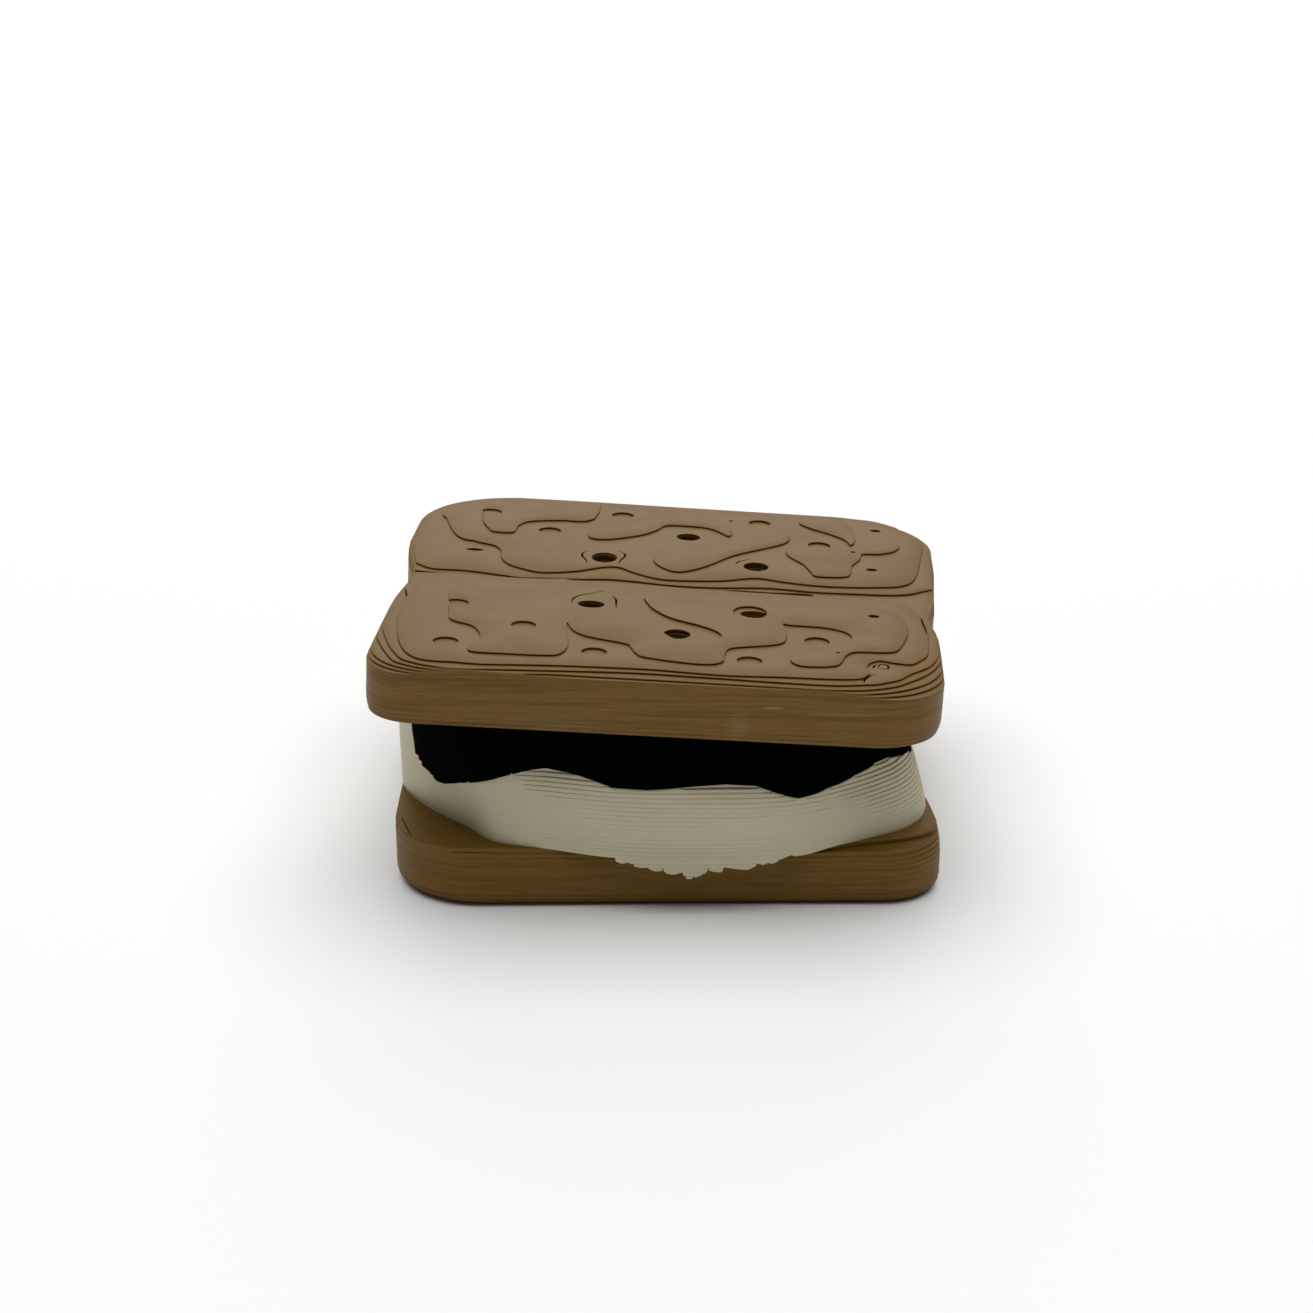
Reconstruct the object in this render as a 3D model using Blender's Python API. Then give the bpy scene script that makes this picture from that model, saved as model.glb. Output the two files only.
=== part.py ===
# Toy s'more printed in plastic: two square crackers with a marshmallow and
# a chocolate slab between them. The upper cracker sits a little turned and
# tilted. Lengths are in metres, +Z is up, and the stack stands on z = 0.

from math import cos, exp, pi, radians, sin

import bmesh
import bpy
from mathutils import Matrix

MM = 0.001

# Print layer, and the gap kept between pieces that touch
LAYER = 0.28 * MM
GAP = 0.3 * MM

# Crackers: full sizes in plan, thickness in layers, corners and edges
TOP_WIDTH = 32.0 * MM
TOP_DEPTH = 31.6 * MM
TOP_THICKNESS = 15 * LAYER
BOTTOM_WIDTH = 31.4 * MM
BOTTOM_DEPTH = 31.0 * MM
BOTTOM_THICKNESS = 13 * LAYER
CORNER_RADIUS = 4.5 * MM
EDGE_RADIUS = 0.95 * MM
CORNER_STEPS = 8
SIDE_STEPS = 14

# Snap line across the middle: side notches and a channel in the top face
NOTCH_DEPTH = 0.8 * MM
NOTCH_HALF_WIDTH = 1.6 * MM
CHANNEL_RADIUS = 2.0 * MM
CHANNEL_DEPTH = 0.8 * MM

# Vent holes of the upper cracker, six deep ones and the shallow rest
HOLE_RADIUS = 0.68 * MM
DEEP_HOLE = 6 * LAYER
SHALLOW_HOLE = 1 * LAYER
HOLE_ROWS = (11.8 * MM, 8.2 * MM, 3.2 * MM, -6.1 * MM, -10.3 * MM, -13.9 * MM)
OUTER_COLUMNS = (-11.8 * MM, -3.8 * MM, 5.3 * MM, 12.3 * MM)
INNER_COLUMNS = (-7.6 * MM, 1.0 * MM, 9.0 * MM)
DEEP_MIDDLE = ((1, 1), (2, 1), (2, 2), (3, 1), (3, 2), (4, 1))

# Where the crackers sit
BOTTOM_CENTRE = (0.15 * MM, 1.14 * MM)
TOP_CENTRE = (0.1 * MM, -0.21 * MM)
TOP_FACE_HEIGHT = 14.9 * MM
TOP_TURN = radians(-3.3)
TOP_TILT = radians(2.65)
TOP_PITCH = radians(-0.55)

# Marshmallow: a pillow that sags over the front edge of the lower cracker
PILLOW_CENTRE = (-0.1 * MM, 0.6 * MM)
PILLOW_WIDTH = 31.0 * MM
PILLOW_DEPTH = 31.2 * MM
PILLOW_CORNER = 8.0 * MM
PILLOW_LOW = 3.0 * MM
PILLOW_HIGH = 11.6 * MM
PILLOW_ROUNDING = 2.2 * MM
SAG_CENTRE = (1.6 * MM, -12.9 * MM, 4.9 * MM)
SAG_SIZE = (9.0 * MM, 2.9 * MM, 3.7 * MM)

# Chocolate: a slab let into the pillow, with drips down the front
SLAB_CENTRE = (-0.4 * MM, 0.2 * MM)
SLAB_WIDTH = 26.8 * MM
SLAB_DEPTH = 31.0 * MM
SLAB_CORNER = 3.0 * MM
SLAB_LOW = 8.5 * MM
SLAB_HIGH = 12.4 * MM
SLAB_ROUNDING = 0.4 * MM
DRIP_FRONT = -15.6 * MM
DRIP_BACK = -11.6 * MM
DRIP_TOP = 9.8 * MM
DRIPS = (
    # centre X, half width, lowest point
    (-10.4 * MM, 3.4 * MM, 7.9 * MM),
    (-0.4 * MM, 4.6 * MM, 7.3 * MM),
    (6.9 * MM, 3.2 * MM, 6.9 * MM),
)


def clear_scene():
    """Remove every object that the file starts with."""
    for item in list(bpy.data.objects):
        bpy.data.objects.remove(item, do_unlink=True)


def new_collection(name):
    """Add a collection under the scene's own."""
    group = bpy.data.collections.new(name)
    bpy.context.scene.collection.children.link(group)
    return group


def plastic(name, colour, roughness):
    """A plain plastic material."""
    material = bpy.data.materials.new(name)
    material.use_nodes = True
    shader = material.node_tree.nodes["Principled BSDF"]
    shader.inputs["Base Color"].default_value = (*colour, 1.0)
    shader.inputs["Roughness"].default_value = roughness
    shader.inputs["Metallic"].default_value = 0.0
    return material


def notch(y):
    """How far a side is drawn in at the distance y from the snap line."""
    return NOTCH_DEPTH * exp(-(y / NOTCH_HALF_WIDTH) ** 2)


def square_outline(width, depth, radius, notched):
    """Corner points of a rounded square, counter-clockwise from +X."""
    half_x = width / 2
    half_y = depth / 2
    centres = ((1, 1), (-1, 1), (-1, -1), (1, -1))
    points = []
    for quarter, (side_x, side_y) in enumerate(centres):
        for step in range(CORNER_STEPS + 1):
            angle = (quarter + step / CORNER_STEPS) * pi / 2
            points.append((
                side_x * (half_x - radius) + radius * cos(angle),
                side_y * (half_y - radius) + radius * sin(angle),
            ))
        if notched and quarter in (1, 3):
            start = side_y * (half_y - radius)
            for step in range(1, SIDE_STEPS):
                y = start * (1 - 2 * step / SIDE_STEPS)
                points.append((side_x * (half_x - notch(y)), y))
    return points


def slab_mesh(name, outline, low, high, rounding, turns=2):
    """A flat piece with rounded rims, extruded from an outline."""
    curve = bpy.data.curves.new(name, "CURVE")
    curve.dimensions = "2D"
    curve.fill_mode = "BOTH"
    curve.extrude = (high - low) / 2 - rounding
    curve.bevel_depth = rounding
    curve.bevel_resolution = turns
    curve.offset = -rounding
    spline = curve.splines.new("POLY")
    spline.points.add(len(outline) - 1)
    for point, (x, y) in zip(spline.points, outline):
        point.co = (x, y, 0.0, 1.0)
    spline.use_cyclic_u = True
    holder = bpy.data.objects.new(name, curve)
    bpy.context.scene.collection.objects.link(holder)
    graph = bpy.context.evaluated_depsgraph_get()
    mesh = bpy.data.meshes.new_from_object(holder.evaluated_get(graph))
    bpy.data.objects.remove(holder, do_unlink=True)
    bpy.data.curves.remove(curve)
    mesh.transform(Matrix.Translation((0, 0, (low + high) / 2)))
    tidy = bmesh.new()
    tidy.from_mesh(mesh)
    bmesh.ops.remove_doubles(tidy, verts=tidy.verts, dist=0.00001)
    bmesh.ops.recalc_face_normals(tidy, faces=tidy.faces)
    tidy.to_mesh(mesh)
    tidy.free()
    return mesh


def ball_mesh(name, centre, size):
    """An ellipsoid given by its half sizes."""
    mesh = bpy.data.meshes.new(name)
    ball = bmesh.new()
    bmesh.ops.create_uvsphere(ball, u_segments=28, v_segments=14, radius=1.0)
    bmesh.ops.scale(ball, vec=size, verts=ball.verts)
    bmesh.ops.translate(ball, vec=centre, verts=ball.verts)
    ball.to_mesh(mesh)
    ball.free()
    return mesh


def rod_mesh(name, radius, low, high, segments, matrix):
    """A closed cylinder along its own Z, then placed by the matrix."""
    mesh = bpy.data.meshes.new(name)
    rod = bmesh.new()
    middle = Matrix.Translation((0, 0, (low + high) / 2))
    bmesh.ops.create_cone(
        rod, cap_ends=True, segments=segments, radius1=radius,
        radius2=radius, depth=high - low, matrix=matrix @ middle)
    rod.to_mesh(mesh)
    rod.free()
    return mesh


def add_object(name, mesh, group, material=None):
    """Put a mesh in the scene under a name."""
    item = bpy.data.objects.new(name, mesh)
    group.objects.link(item)
    if material:
        mesh.materials.clear()
        mesh.materials.append(material)
    return item


def add_cutter(name, mesh, group):
    """A helper shape that cuts or joins, and is no part itself."""
    item = add_object(name, mesh, group)
    item.hide_render = True
    item.display_type = "WIRE"
    return item


def combine(target, tool, operation):
    """Cut or join with an exact Boolean that stays on the object."""
    step = target.modifiers.new(tool.name, "BOOLEAN")
    step.operation = operation
    step.solver = "EXACT"
    step.object = tool


def smooth(item, angle=35):
    """Shade the round faces smooth and keep the rims sharp."""
    item.data.shade_smooth()
    item.data.set_sharp_from_angle(angle=radians(angle))


def cracker_outline(width, depth):
    """Plan of a cracker, with the snap line's notches in its sides."""
    return square_outline(width, depth, CORNER_RADIUS, notched=True)


def channel_tool(name, length, face, group, parent=None):
    """The bar that sinks the snap line's channel into a top face."""
    lift = face + CHANNEL_RADIUS - CHANNEL_DEPTH
    lying = Matrix.Translation((0, 0, lift)) @ Matrix.Rotation(pi / 2, 4, "Y")
    mesh = rod_mesh(name, CHANNEL_RADIUS, -length / 2, length / 2, 24, lying)
    tool = add_cutter(name, mesh, group)
    tool.parent = parent
    return tool


def lower_cracker(parts, material):
    """The level cracker that the stack stands on."""
    outline = cracker_outline(BOTTOM_WIDTH, BOTTOM_DEPTH)
    mesh = slab_mesh("cracker_bottom", outline, 0, BOTTOM_THICKNESS, EDGE_RADIUS)
    item = add_object("cracker_bottom", mesh, parts, material)
    item.location = (*BOTTOM_CENTRE, 0)
    return item


def hole_places():
    """Place and depth of every vent hole, row by row from the back."""
    for row, y in enumerate(HOLE_ROWS):
        columns = INNER_COLUMNS if row in (1, 4) else OUTER_COLUMNS
        for column, x in enumerate(columns):
            deep = (row, column) in DEEP_MIDDLE
            yield x, y, DEEP_HOLE if deep else SHALLOW_HOLE


def upper_cracker(parts, cutters, material):
    """The turned and tilted cracker on top, with its origin in its top face."""
    outline = cracker_outline(TOP_WIDTH, TOP_DEPTH)
    mesh = slab_mesh("cracker_top", outline, -TOP_THICKNESS, 0, EDGE_RADIUS)
    item = add_object("cracker_top", mesh, parts, material)
    item.location = (*TOP_CENTRE, TOP_FACE_HEIGHT)
    item.rotation_euler = (TOP_PITCH, TOP_TILT, TOP_TURN)
    channel = channel_tool("top_channel", 2 * TOP_WIDTH, 0, cutters, item)
    combine(item, channel, "DIFFERENCE")
    for number, (x, y, depth) in enumerate(hole_places()):
        place = Matrix.Translation((x, y, 0))
        name = f"vent_{number:02d}"
        hole = rod_mesh(name, HOLE_RADIUS, -depth, 2 * LAYER, 16, place)
        tool = add_cutter(name, hole, cutters)
        tool.parent = item
        combine(item, tool, "DIFFERENCE")
    return item


def lid_tool(name, gap, cutters):
    """The room that the upper cracker takes, with a gap below it."""
    outline = square_outline(
        2 * TOP_WIDTH, 2 * TOP_DEPTH, CORNER_RADIUS, notched=False)
    mesh = slab_mesh(name, outline, -TOP_THICKNESS - gap, TOP_THICKNESS, EDGE_RADIUS)
    tool = add_cutter(name, mesh, cutters)
    tool.location = (*TOP_CENTRE, TOP_FACE_HEIGHT)
    tool.rotation_euler = (TOP_PITCH, TOP_TILT, TOP_TURN)
    return tool


def chocolate_shape(name, grow, parts, cutters, material=None):
    """The slab and its drips, grown on all sides by the given amount."""
    outline = square_outline(
        SLAB_WIDTH + 2 * grow, SLAB_DEPTH + 2 * grow,
        SLAB_CORNER + grow, notched=False)
    mesh = slab_mesh(
        name, outline, SLAB_LOW - grow, SLAB_HIGH + grow, SLAB_ROUNDING, turns=1)
    if material:
        item = add_object(name, mesh, parts, material)
    else:
        item = add_cutter(name, mesh, cutters)
    item.location = (*SLAB_CENTRE, 0)
    for number, (x, half_width, lowest) in enumerate(DRIPS):
        middle = (x, (DRIP_FRONT + DRIP_BACK) / 2, DRIP_TOP)
        size = (
            half_width + grow,
            (DRIP_BACK - DRIP_FRONT) / 2 + grow,
            DRIP_TOP - lowest + grow,
        )
        label = f"{name}_drip_{number}"
        drip = add_cutter(label, ball_mesh(label, middle, size), cutters)
        combine(item, drip, "UNION")
    return item


def chocolate(parts, cutters, material):
    """The slab, cut off flat below the tilted cracker."""
    item = chocolate_shape("chocolate", 0, parts, cutters, material)
    combine(item, lid_tool("lid_over_chocolate", GAP, cutters), "DIFFERENCE")
    return item


def marshmallow(parts, cutters, material):
    """The sagging pillow, kept clear of both crackers and the chocolate."""
    outline = square_outline(
        PILLOW_WIDTH, PILLOW_DEPTH, PILLOW_CORNER, notched=False)
    mesh = slab_mesh(
        "marshmallow", outline, PILLOW_LOW, PILLOW_HIGH, PILLOW_ROUNDING, turns=3)
    item = add_object("marshmallow", mesh, parts, material)
    item.location = (*PILLOW_CENTRE, 0)
    sag = add_cutter("sag", ball_mesh("sag", SAG_CENTRE, SAG_SIZE), cutters)
    combine(item, sag, "UNION")
    outline = square_outline(
        BOTTOM_WIDTH + 2 * GAP, BOTTOM_DEPTH + 2 * GAP,
        CORNER_RADIUS + GAP, notched=False)
    seat = slab_mesh(
        "lower_seat", outline, -PILLOW_LOW, BOTTOM_THICKNESS + GAP, EDGE_RADIUS)
    tool = add_cutter("lower_seat", seat, cutters)
    tool.location = (*BOTTOM_CENTRE, 0)
    combine(item, tool, "DIFFERENCE")
    combine(item, lid_tool("lid_over_pillow", GAP, cutters), "DIFFERENCE")
    pocket = chocolate_shape("pocket", GAP, parts, cutters)
    combine(item, pocket, "DIFFERENCE")
    return item


def build():
    """Make the four pieces of the toy."""
    clear_scene()
    parts = new_collection("smores")
    cutters = new_collection("cutters")
    cracker_brown = plastic("cracker", (0.26, 0.17, 0.085), 0.55)
    cream = plastic("marshmallow", (0.62, 0.58, 0.47), 0.5)
    black = plastic("chocolate", (0.012, 0.010, 0.010), 0.4)
    pieces = (
        lower_cracker(parts, cracker_brown),
        marshmallow(parts, cutters, cream),
        chocolate(parts, cutters, black),
        upper_cracker(parts, cutters, cracker_brown),
    )
    for piece in pieces:
        smooth(piece)


build()
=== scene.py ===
"""Dressed model of a toy s'more printed in plastic.

Every piece is built the way it was printed: as a stack of layers, each with its
own outline in plan and a rounded bead for a side wall. The lines that show on
the toy are the steps from one layer to the next, with painted shade in the grooves
between them and a painted highlight on their open upper edges.
"""

from collections import namedtuple
from math import ceil, cos, pi, radians, sin

import bmesh
import bpy
import numpy as np
from mathutils import Euler, Matrix, Vector, noise
from mathutils.geometry import delaunay_2d_cdt


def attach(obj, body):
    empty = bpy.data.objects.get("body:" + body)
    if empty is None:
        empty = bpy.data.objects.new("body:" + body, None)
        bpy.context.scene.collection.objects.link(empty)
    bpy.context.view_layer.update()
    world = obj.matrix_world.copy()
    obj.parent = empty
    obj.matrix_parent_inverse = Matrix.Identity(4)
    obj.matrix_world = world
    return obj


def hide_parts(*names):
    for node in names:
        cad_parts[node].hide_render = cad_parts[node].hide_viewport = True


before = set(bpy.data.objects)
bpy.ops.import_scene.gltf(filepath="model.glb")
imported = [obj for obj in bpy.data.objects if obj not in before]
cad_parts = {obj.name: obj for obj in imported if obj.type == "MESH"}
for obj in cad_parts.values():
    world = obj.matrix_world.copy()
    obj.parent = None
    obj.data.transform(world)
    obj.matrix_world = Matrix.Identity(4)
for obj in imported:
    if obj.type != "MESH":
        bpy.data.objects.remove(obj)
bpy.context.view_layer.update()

MM = 0.001

# Camera: picture size and focal length in pixels, place and aim in mm
PICTURE = 1313
FOCAL = 2550
SENSOR = 36.0
EYE = Vector((-0.483, -144.55, 62.73))
AIM = Vector((-0.483, 0.483, 9.671))

# A cracker, in mm. Sides count anticlockwise from the right one, corners from the back
# right one. Corners soften and sides draw in over the upper layers that round it, and
# by the foot's values over the lowest. Notches of the right and the left side: depth, Y
# of the middle and half width. Behind them the sides spread by the flare, and skew
# turns the front side.
Cracker = namedtuple("Cracker", "limits thickness layers rounding corners softer "
                     "foot_softer insets foot_insets notches flare skew")
TOP = Cracker(
    limits=(16.0, 16.0, -15.6, -16.65), thickness=3.66, layers=18, rounding=6,
    corners=(4.8, 5.2, 2.8, 3.3), softer=(2.4, 1.2, 3.0, 6.0),
    foot_softer=(0.5, 0.5, 0.0, 0.5), insets=(0.3, -0.1, 0.75, 0.0),
    foot_insets=(0.1,) * 4, notches=((0.4, -4.3, 1.8), (0.42, -1.0, 2.6)),
    flare=(0.017, 0.045), skew=0.03)
BOTTOM = Cracker(
    limits=(15.65, 15.5, -15.65, -15.5), thickness=3.64, layers=13, rounding=4.6,
    corners=(4.5, 4.5, 5.0, 3.4), softer=(0.5, 0.5, -0.3, 0.5),
    foot_softer=(0.0,) * 4, insets=(0.15, 0.2, 0.0, 0.1),
    foot_insets=(0.25, 0.35, 0.5, 0.65), notches=((0.9, -3.0, 5.0), (0.35, -0.5, 3.0)),
    flare=(0.0, 0.0), skew=0.0)
FOOT_LAYERS = 3
FLARE_LENGTH = 6.0
SKEW_LENGTH = 8.0

# Middle of the upper cracker's top face and of the lower one's underside, in mm
TOP_CENTRE = (0.1, -0.21, 14.9)
TOP_TURN = radians(-3.3)
TOP_TILT = radians(2.65)
TOP_PITCH = radians(-0.55)
BOTTOM_CENTRE = (0.0, 1.14, 0.0)
BOTTOM_TURN = radians(0.7)

# Layers: the thin ones on top of the upper cracker, and those of the soft pieces
THIN = 0.13
THIN_LAYERS = 8
LAYER = 0.2625

# Spacing of points along an outline, a fine one and the marshmallow's, and the distance
# below which two points are one
SPACING = 0.3
FINE_SPACING = 0.16
PILLOW_SPACING = 0.24
MERGE = 1e-5
TINY = 1e-9

# Wavering of the beads: its reach along an outline, and the step of noise between layers
WANDER_REACH = 2.5
WANDER_STEP = 3.7

# Section of one printed bead, of a thin one and of any other: share of its height,
# of the groove's depth, of the foot's painted shade and of the rim's painted highlight
THIN_BEAD = ((0.3, 0.3, 1.0, 0.0), (0.75, 0.1, 0.6, 0.0))
BEAD = ((0.2, 0.3, 1.0, 0.0), (0.4, 0.05, 0.75, 0.0), (0.8, 0.3, 0.0, 0.5))
# Depth of the groove between beads, and between the marshmallow's
GROOVE = 0.012
SOFT_GROOVE = 0.005
# How wide a step is that gets its full painted shade, and an open upper edge its full
# painted highlight and chamfer; and how far an open upper edge is cut back
WIDE_TREAD = 0.13
CHAMFER = 0.05
# A hole is a mere cut where its area is below this times its girth, and such a cut
# gets the hole's painted shade all the way down
SLIM = 0.16
# Angle from which an edge is shaded sharp, and the marshmallow's
SHARP_ANGLE = radians(35)
SOFT_ANGLE = radians(80)

# Painted shade and highlight of a bead, from 1, painted shade in a deep groove, to -1, a
# painted highlight on a rim: at a flush foot, on a wide step, on that of a thin layer, at
# an open upper edge and in a hole. Then the share of this painted shade and highlight
# that is left on sides that face sideways.
Tones = namedtuple("Tones", "flush wide thin_wide rim hole", defaults=(0.03, 0.5, 1.0, 0.0, 0.0))
SIDEWAYS = 0.15

Layer = namedtuple("Layer", "low high loops")


def placement(centre, pitch=0.0, tilt=0.0, turn=0.0):
    """A frame in mm with its origin in a cracker."""
    return Matrix.Translation(centre) @ Euler((pitch, tilt, turn)).to_matrix().to_4x4()


TOP_FRAME = placement(TOP_CENTRE, TOP_PITCH, TOP_TILT, TOP_TURN)
BOTTOM_FRAME = placement(BOTTOM_CENTRE, turn=BOTTOM_TURN)
WORLD = Matrix.Identity(4)
# Y beyond every piece, on either side
OUTSIDE = 18.0


def sight(pixels, place, height):
    """Where lines of sight through pixels meet a level of a frame, as x and y there."""
    forward = (AIM - EYE).normalized()
    right = forward.cross(Vector((0, 0, 1))).normalized()
    up = right.cross(forward)
    back = place.inverted()
    start = back @ EYE
    points = []
    for x, y in pixels:
        across = (x - PICTURE / 2) / FOCAL
        rise = (PICTURE / 2 - y) / FOCAL
        ray = back.to_3x3() @ (forward + across * right + rise * up)
        reach = float(height - start.z) / ray.z
        points.append((start + reach * ray).xy[:])
    return np.array(points)


def blend(share, start, leaving, end, arriving):
    """A cubic blend from a start to an end, with the slopes there."""
    return ((2 * share ** 3 - 3 * share ** 2 + 1) * start
            + (share ** 3 - 2 * share ** 2 + share) * leaving
            + (3 * share ** 2 - 2 * share ** 3) * end
            + (share ** 3 - share ** 2) * arriving)


def curve(points, spacing=SPACING, closed=True):
    """A smooth outline through a few points."""
    points = np.asarray(points, float)
    if not closed:
        ends = 2 * points[[0, -1]] - points[[1, -2]]
        points = np.concatenate((points, ends[1:], ends[:1]))
    ahead = np.roll(points, -1, axis=0)
    chord = np.linalg.norm(ahead - points, axis=1)
    pace = np.sqrt(chord)
    behind = np.roll(points, 1, axis=0)
    slope = (ahead - behind) / (pace + np.roll(pace, 1))[:, None]
    outline = []
    for index, start in enumerate(points if closed else points[:-2]):
        follow = (index + 1) % len(points)
        count = max(1, ceil(chord[index] / spacing))
        share = (np.arange(count) / count)[:, None]
        outline.append(blend(share, start, slope[index] * pace[index],
                             points[follow], slope[follow] * pace[index]))
    return np.concatenate(outline)


def ellipse(centre, radius_x, radius_y, steps=28):
    """A closed oval outline."""
    angles = np.arange(steps) * 2 * pi / steps
    return centre + np.stack((radius_x * np.cos(angles), radius_y * np.sin(angles)), axis=1)


def rounded_box(right, back, left, front, radii, spacing=SPACING):
    """An outline with four round corners. Points along a side gather at its end."""
    corners = ((right, back, 1, 1), (left, back, -1, 1), (left, front, -1, -1),
               (right, front, 1, -1))
    middles = [np.array((x - side_x * radius, y - side_y * radius))
               for (x, y, side_x, side_y), radius in zip(corners, radii)]
    points = []
    for quarter, radius in enumerate(radii):
        start, end = quarter * pi / 2, quarter * pi / 2 + pi / 2
        for angle in np.linspace(start, end, max(3, ceil(radius * pi / 2 / spacing))):
            points.append(middles[quarter] + (radius * cos(angle), radius * sin(angle)))
        radius = radii[(quarter + 1) % 4]
        target = middles[(quarter + 1) % 4] + (radius * cos(end), radius * sin(end))
        steps = max(1, ceil(np.linalg.norm(target - points[-1]) / spacing))
        for step in range(1, steps):
            points.append(points[-1] + (target - points[-1]) * step / steps)
    return np.array(points)


def cracker_outline(cracker, level):
    """A cracker's outline at a layer counted from the top, notched at its snap line."""
    high = max(0.0, 1 - level / cracker.rounding)
    low = max(0.0, (level + 1 + FOOT_LAYERS - cracker.layers) / FOOT_LAYERS)
    insets = [inset * high ** 2 + foot * low ** 2
              for inset, foot in zip(cracker.insets, cracker.foot_insets)]
    radii = [corner + softer * high + foot * low for corner, softer, foot
             in zip(cracker.corners, cracker.softer, cracker.foot_softer)]
    points = rounded_box(*(cracker.limits - np.array(insets) * (1, 1, -1, -1)), radii)
    for side, (deep, middle, half_width), flare in zip((1, -1), cracker.notches, cracker.flare):
        fall = deep * np.exp(-((points[:, 1] - middle) / half_width) ** 2)
        here = side * points[:, 0] > cracker.limits[0] / 2
        points[here, 0] -= side * fall[here]
        points[here, 0] *= 1 + flare * np.clip(points[here, 1] / FLARE_LENGTH, 0, 1)
    points[:, 1] += cracker.skew * points[:, 0] * np.clip(-points[:, 1] / SKEW_LENGTH, 0, 1)
    return points


def all_behind(line, near):
    """Everything behind a line along the front, which runs on to a Y at both sides."""
    return np.concatenate((line, ((FAR, near), (FAR, FAR), (-FAR, FAR), (-FAR, near))))


def inside(points, loops):
    """Even-odd test of points against closed outlines."""
    hits = np.zeros(len(points), int)
    x, y = points[:, :1], points[:, 1:]
    for loop in loops:
        x0, y0 = loop.T
        x1, y1 = np.roll(loop, -1, axis=0).T
        crosses = (y0 > y) != (y1 > y)
        rise = np.where(y1 == y0, 1.0, y1 - y0)
        hits += (crosses & (x < x0 + (y - y0) * (x1 - x0) / rise)).sum(axis=1)
    return hits % 2 == 1


def triangles(*regions):
    """Triangles over several regions, kept to all of their outlines."""
    points, edges = [], []
    for region in regions:
        for loop in region:
            first = len(points)
            points.extend(Vector(point) for point in loop.tolist())
            edges.extend((first + step, first + (step + 1) % len(loop))
                         for step in range(len(loop)))
    corners, sides, faces, _, sources, _ = delaunay_2d_cdt(points, edges, [], 0, MERGE, True)
    corners = np.array([corner[:] for corner in corners])
    faces = np.array(faces)
    return points, edges, corners, sides, faces, sources


def combine(rule, *regions):
    """Outlines of a region made from others, with the solid on their left."""
    _, _, corners, _, faces, _ = triangles(*regions)
    middles = corners[faces].mean(axis=1)
    kept = faces[rule(*(inside(middles, region) for region in regions))]
    borders = set()
    for face in kept.tolist():
        for start, end in zip(face, face[1:] + face[:1]):
            if (end, start) in borders:
                borders.remove((end, start))
            else:
                borders.add((start, end))
    following = {}
    for start, end in sorted(borders):
        following.setdefault(start, []).append(end)
    loops = []
    while following:
        start = min(following)
        loop, here = [], start
        while True:
            loop.append(here)
            after = following[here].pop()
            if not following[here]:
                del following[here]
            here = after
            if here == start:
                break
        if len(loop) > 2:
            loops.append(corners[loop])
    return loops


def both(first, second):
    return combine(lambda a, b: a & b, first, second)


def less(first, *others):
    return combine(lambda a, *rest: a & ~np.any(rest, axis=0), first, *others)


def outward(loop):
    """Unit vectors away from the solid, one for each point."""
    along = np.roll(loop, -1, axis=0) - np.roll(loop, 1, axis=0)
    along /= np.maximum(np.linalg.norm(along, axis=1), TINY)[:, None]
    return np.stack((along[:, 1], -along[:, 0]), axis=1)


def distance(points, loops):
    """How far points lie from the nearest outline."""
    best = np.full(len(points), np.inf)
    for loop in loops:
        start = loop[None]
        run = np.roll(loop, -1, axis=0)[None] - start
        offset = points[:, None] - start
        share = (offset * run).sum(axis=2) / np.maximum((run ** 2).sum(axis=2), TINY ** 2)
        gap = offset - np.clip(share, 0, 1)[..., None] * run
        best = np.minimum(best, np.sqrt((gap ** 2).sum(axis=2)).min(axis=1))
    return best


def wander(loop, number):
    """Slow wavering along an outline of a layer, between -1 and 1."""
    return np.array([noise.noise(Vector((x / WANDER_REACH, y / WANDER_REACH,
                                         number * WANDER_STEP))) for x, y in loop])


def winding(loop):
    """Area of an outline, below zero where it runs clockwise."""
    x, y = loop.T
    return 0.5 * float(np.sum(x * np.roll(y, -1) - y * np.roll(x, -1)))


def bead_edges(layers, groove):
    """Outlines at the foot and head of each layer's beads, and how bare the heads are."""
    feet, heads, ledges = [], [], []
    for layer, over in zip(layers, [layer.loops for layer in layers[1:]] + [[]]):
        feet.append([loop - groove * outward(loop) for loop in layer.loops])
        ledge = [np.clip(distance(loop, over) / WIDE_TREAD, 0, 1) * ~inside(loop, over)
                 for loop in layer.loops]
        heads.append([
            loop - (groove + CHAMFER * bare * (winding(loop) > 0))[:, None] * outward(loop)
            for loop, bare in zip(layer.loops, ledge)])
        ledges.append(ledge)
    return feet, heads, ledges


def fill_level(below, above, base):
    """Corners and open faces between two layers, and the corners along their edges."""
    points, edges, corners, sides, faces, sources = triangles(below, above)
    on_edge = {}
    for side, owners in zip(sides, sources):
        for owner in owners:
            if owner < len(edges):
                on_edge.setdefault(owner, set()).update(side)
    chains = []
    for number, (start, end) in enumerate(edges):
        begin = np.array(points[start])
        run = np.array(points[end]) - begin
        members = sorted(on_edge.get(number, ()),
                         key=lambda corner: float((corners[corner] - begin) @ run))
        chains.append([base + member for member in members])
    middles = corners[faces].mean(axis=1)
    covers, carries = inside(middles, above), inside(middles, below)
    caps = (faces[carries & ~covers] + base).tolist()
    caps += (faces[covers & ~carries][:, ::-1] + base).tolist()
    split = sum(map(len, below))
    return corners, caps, chains[:split], chains[split:]


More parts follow.
